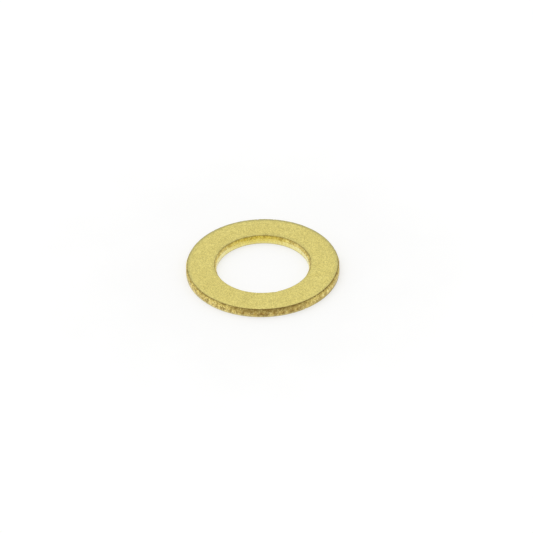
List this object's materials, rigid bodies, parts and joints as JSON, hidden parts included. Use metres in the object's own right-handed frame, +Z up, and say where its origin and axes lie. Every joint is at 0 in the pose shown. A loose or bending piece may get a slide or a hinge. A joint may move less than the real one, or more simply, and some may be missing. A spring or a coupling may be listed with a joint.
{
  "type": "flat washer",
  "caption": "Thin flat brass ring washer with punched edges, which spreads the load under a screw head or nut on a 10 mm thread.",
  "frame": {"origin": "on the bore's axis, at the underside that the washer lies on", "axes": "+Z up along the bore's axis, from the underside to the upper face; X and Y are free, because the washer is round"},
  "size_m": [0.0164, 0.0164, 0.001],
  "materials": {
    "brass": "fine matte tumbled brass on the two faces, rougher on the punched walls"
  },
  "bodies": {
    "root": {"washer": "brass"}
  },
  "joints": []
}
